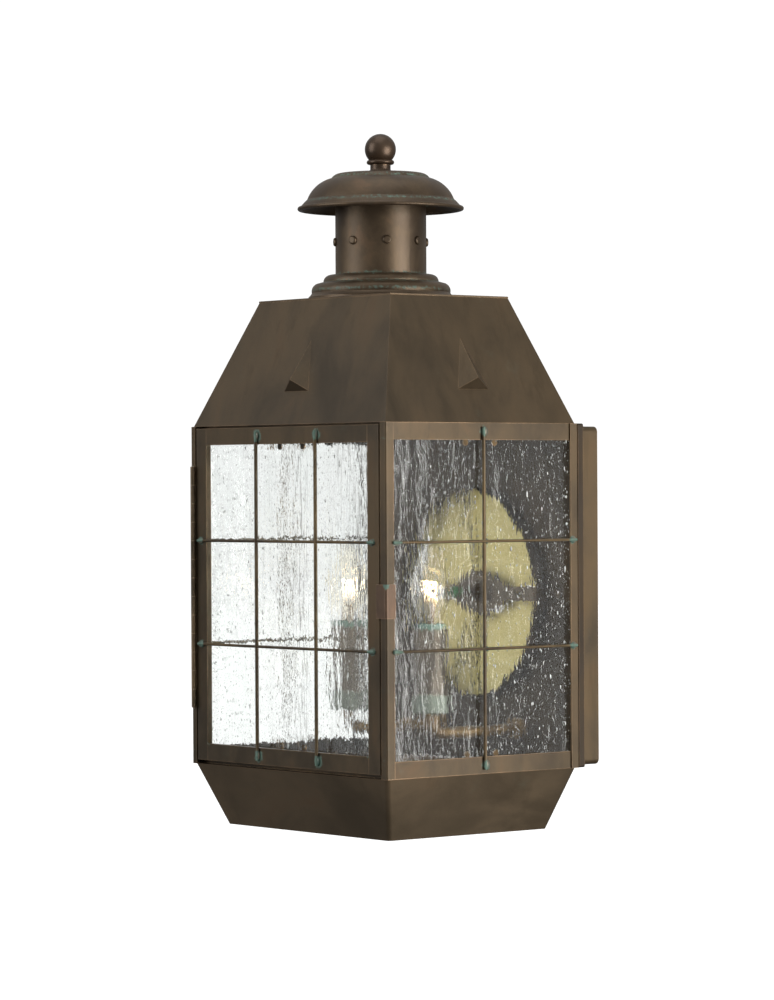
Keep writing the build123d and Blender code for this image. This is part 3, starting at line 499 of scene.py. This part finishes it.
def seedPane(name, node, body, look):
    # fills a pane with bubbles of many sizes, thicker towards its edges and in drifts
    rng = random.Random(look["seed"])
    low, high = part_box(node)
    size = high - low
    thin = 0 if size.x < size.y else 1
    wide = 1 - thin
    points, faces = [], []
    made = 0
    while made < look["count"]:
        u, v = rng.random(), rng.random()
        drift = 0.5 + 0.5 * math.sin(u * 9 + look["seed"]) * math.cos(v * 7 - look["seed"])
        edge = max(abs(u - 0.5), abs(v - 0.5)) * 2
        if rng.random() > 0.35 + 0.4 * drift + look["edge"] * edge ** 3 + look["lean"] * u:
            continue
        radius = look["radius"] * rng.lognormvariate(0, 0.5)
        radius = min(radius, size[thin] * 0.4)
        place = Vector((0, 0, low.z + 0.002 + v * (size.z - 0.004)))
        place[wide] = low[wide] + 0.002 + u * (size[wide] - 0.004)
        place[thin] = low[thin] + radius + rng.random() * (size[thin] - 2 * radius)
        drawn = rng.uniform(1.0, 2.6)
        start = len(points)
        for p in seedPoints:
            points.append((place.x + p.x * radius, place.y + p.y * radius, place.z + p.z * radius * drawn))
        faces += [tuple(start + i for i in f) for f in seedFaces]
        made += 1
    mesh = bpy.data.meshes.new(name)
    mesh.from_pydata(points, [], faces)
    mesh.materials.append(seedGlass)
    seeds = bpy.data.objects.new(name, mesh)
    bpy.context.scene.collection.objects.link(seeds)
    for polygon in mesh.polygons:
        polygon.use_smooth = True
    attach(seeds, body)


seeding = {"count": 4200, "radius": 0.00019, "edge": 0.4, "lean": 0.15}
seedPane("seeds_door", "door_glass", "door", dict(seeding, seed=3, count=3600, lean=0.3))
seedPane("seeds_left", "side_glass_left", "lantern", dict(seeding, seed=5, count=3000))
seedPane("seeds_right", "side_glass_right", "lantern", dict(seeding, seed=8))
print("glass and its seeds made")


# ---- solder at the wires
def solderMaterial():
    made, skin = material("solder")
    lump = skin.noise(500, 5, 0.65)
    old = skin.between(skin.noise(150, 4, 0.6), 0.4, 0.58)
    colour = skin.mix(old, srgb(112, 108, 96), srgb(62, 88, 79))
    colour = skin.mix(skin.between(lump, 0.5, 0.7) * 0.35, colour, srgb(116, 136, 124))
    bump = skin.node("Bump", None, {"Strength": 0.6, "Distance": 0.0004, "Height": lump})
    skin.finish(skin.node("BsdfPrincipled", None, {
        "Base Color": colour, "Metallic": 0.75 * (1 - old), "Normal": bump,
        "Roughness": skin.between(lump, 0.3, 0.7, 0.35, 0.6)}))
    return made


solder = solderMaterial()


def solderDrop():
    # one flattened drop, a millimetre in radius, its flat side towards -Z
    bpy.ops.object.select_all(action="DESELECT")
    bpy.ops.mesh.primitive_ico_sphere_add(subdivisions=3, radius=0.001, location=(0, 0, 0))
    drop = bpy.context.object
    bpy.ops.object.mode_set(mode="EDIT")
    bpy.ops.mesh.select_all(action="SELECT")
    bpy.ops.mesh.bisect(plane_co=(0, 0, -0.0002), plane_no=(0, 0, 1), clear_inner=True, use_fill=True)
    bpy.ops.mesh.select_all(action="SELECT")
    bpy.ops.transform.vertex_random(offset=0.0001, uniform=0.6, normal=0.6, seed=4)
    bpy.ops.mesh.vertices_smooth(factor=0.5, repeat=2)
    bpy.ops.object.mode_set(mode="OBJECT")
    drop.data.materials.append(solder)
    return drop


def solderJoints(name, body, normal, places, seed):
    # copies of the drop, each turned and stretched its own way, joined into one piece
    rng = random.Random(seed)
    pattern = solderDrop()
    upright = Vector(normal).to_track_quat("Z", "Y").to_matrix().to_4x4()
    copies = []
    for at, wide, tall, lift in places:
        drop = pattern.copy()
        drop.data = pattern.data.copy()
        bpy.context.scene.collection.objects.link(drop)
        spin = Matrix.Rotation(rng.uniform(0, 6.28), 4, "Z")
        grow = Matrix.Diagonal((wide * rng.uniform(0.85, 1.15), tall * rng.uniform(0.85, 1.15), lift, 1))
        drop.data.transform(Matrix.Translation(at) @ upright @ grow @ spin)
        copies.append(drop)
    bpy.data.objects.remove(pattern)
    bpy.ops.object.select_all(action="DESELECT")
    for drop in copies:
        drop.select_set(True)
    bpy.context.view_layer.objects.active = copies[0]
    bpy.ops.object.join()
    joints = bpy.context.object
    joints.name = name
    joints.data.name = name
    bpy.ops.object.shade_smooth_by_angle(angle=1.0)
    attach(joints, body)


for sideName, side in (("left", -1), ("right", 1)):
    outer = side * (wireHigh.x - 0.0012)
    atPosts = [((outer, y, z), 3.0, 2.2, 0.9) for _, y, z in sideEnds]
    crossings = [((outer, sideMiddle, z), 1.6, 2.0, 1.0) for z in crossLevels]
    atRails = [((side * (wireHigh.x - 0.0022), sideMiddle, z), 2.4, 3.8, 1.6) for _, _, z in uprightEnds]
    solderJoints("solder_" + sideName, "lantern", (side, 0, 0), atPosts + crossings + atRails,
                 11 + side)
doorFace = doorWireLow.y + 0.0012
solderJoints("solder_door", "door", (0, -1, 0),
             [((x, doorFace, z), 3.0, 2.2, 0.9) for x, _, z in doorEnds]
             + [((x, doorFace, z), 1.5, 1.9, 1.0) for x in doorUprights for z in doorLevels]
             + [((x, doorFace, z), 2.4, 3.6, 1.2) for x, _, z in doorTips], 17)
print("solder joints made")


# ---- floor, world, lamps and camera
studio = {"drop": 1.1, "floor": 60.0, "white": 1.06, "gloss": 0.32,
          "below": 0.16, "above": 0.95, "floorGlow": 0.4,
          "keyTurn": 104, "keyRise": -5, "keyFar": 1.7, "keySize": 1.1, "keyPower": 36,
          "fillTurn": -20, "fillRise": 16, "fillFar": 2.2, "fillSize": 1.4, "fillPower": 22,
          "topPower": 6}


def paleFloor():
    made, skin = material("paleFloor")
    dusty = skin.noise(0.8, 3)
    pale = skin.mix(dusty, (0.93, 0.93, 0.93, 1), (0.96, 0.96, 0.96, 1))
    skin.finish(skin.node("BsdfPrincipled", None, {
        "Base Color": pale, "Specular IOR Level": 0.1,
        "Roughness": skin.between(dusty, 0.3, 0.7, 0.85, 0.95),
        "Emission Color": pale, "Emission Strength": studio["floorGlow"]}))
    return made


centre = (cadBox[0] + cadBox[1]) / 2
bpy.ops.object.select_all(action="DESELECT")
bpy.ops.mesh.primitive_plane_add(size=studio["floor"], location=(0, 0, 0))
floor = bpy.context.object
floor.name = "floor"
floor.data.transform(Matrix.Translation((0, 0, cadBox[0].z - studio["drop"])))
floor.data.materials.append(paleFloor())
floor.visible_diffuse = False
floor.visible_glossy = False

world = bpy.data.worlds.new("studioWorld")
world.use_nodes = True
bpy.context.scene.world = world
sky = Shader(world.node_tree, "ShaderNodeOutputWorld")
through = sky.node("LightPath", out="Is Transmission Ray")
reflected = sky.node("LightPath", out="Is Glossy Ray") * (1 - through)
upward = sky.node("SeparateXYZ", None, {0: sky.node("TexCoord", out="Generated")}, out=2)
mirrored = sky.between(upward, -0.4, 0.9, studio["gloss"] * 0.4, studio["gloss"] * 1.6)
scattered = sky.node("LightPath", out="Is Diffuse Ray")
ambient = sky.between(upward, -0.5, 0.8, studio["below"], studio["above"])
seen = (1 - reflected) * (1 - scattered)
strength = seen * studio["white"] + mirrored * reflected + ambient * scattered * (1 - reflected)
sky.finish(sky.node("Background", None, {"Color": (1, 1, 1, 1), "Strength": strength}))


def softbox(name, turn, rise, far, size, power, colour):
    lamp = bpy.data.lights.new(name, "AREA")
    lamp.shape = "RECTANGLE"
    lamp.size = size
    lamp.size_y = size * 1.3
    lamp.energy = power
    lamp.color = colour
    box = bpy.data.objects.new(name, lamp)
    bpy.context.scene.collection.objects.link(box)
    a, e = math.radians(turn), math.radians(rise)
    away = Vector((math.sin(a) * math.cos(e), -math.cos(a) * math.cos(e), math.sin(e)))
    box.location = centre + away * far
    box.rotation_euler = away.to_track_quat("Z", "Y").to_euler()


softbox("key", studio["keyTurn"], studio["keyRise"], studio["keyFar"], studio["keySize"], studio["keyPower"],
        (1.0, 0.98, 0.95))
softbox("fill", studio["fillTurn"], studio["fillRise"], studio["fillFar"], studio["fillSize"],
        studio["fillPower"], (0.97, 0.98, 1.0))
softbox("top", 30, 80, 1.6, 1.2, studio["topPower"], (1, 1, 1))

shot = {"yaw": 51.19, "pitch": 0.187, "roll": -0.306, "distance": 2.6934, "lens": 137.42,
        "right": 0.00302, "up": 0.06721}
yaw, pitch, roll = (math.radians(shot[k]) for k in ("yaw", "pitch", "roll"))
back = Vector((math.sin(yaw) * math.cos(pitch), -math.cos(yaw) * math.cos(pitch), math.sin(pitch)))
level = Vector((math.cos(yaw), math.sin(yaw), 0))
upright = back.cross(level)
across = level * math.cos(roll) + upright * math.sin(roll)
above = upright * math.cos(roll) - level * math.sin(roll)
lampAxis = Vector((0, (postLow.y + rearHigh.y) / 2, 0))
camera = bpy.data.objects.new("camera", bpy.data.cameras.new("camera"))
bpy.context.scene.collection.objects.link(camera)
camera.data.lens = shot["lens"]
camera.rotation_mode = "QUATERNION"
camera.location = lampAxis + back * shot["distance"] + across * shot["right"] + above * shot["up"]
camera.rotation_quaternion = Matrix((across, above, back)).transposed().to_quaternion()
bpy.context.scene.camera = camera
bpy.context.scene.view_settings.view_transform = "Standard"
print("studio and camera set")
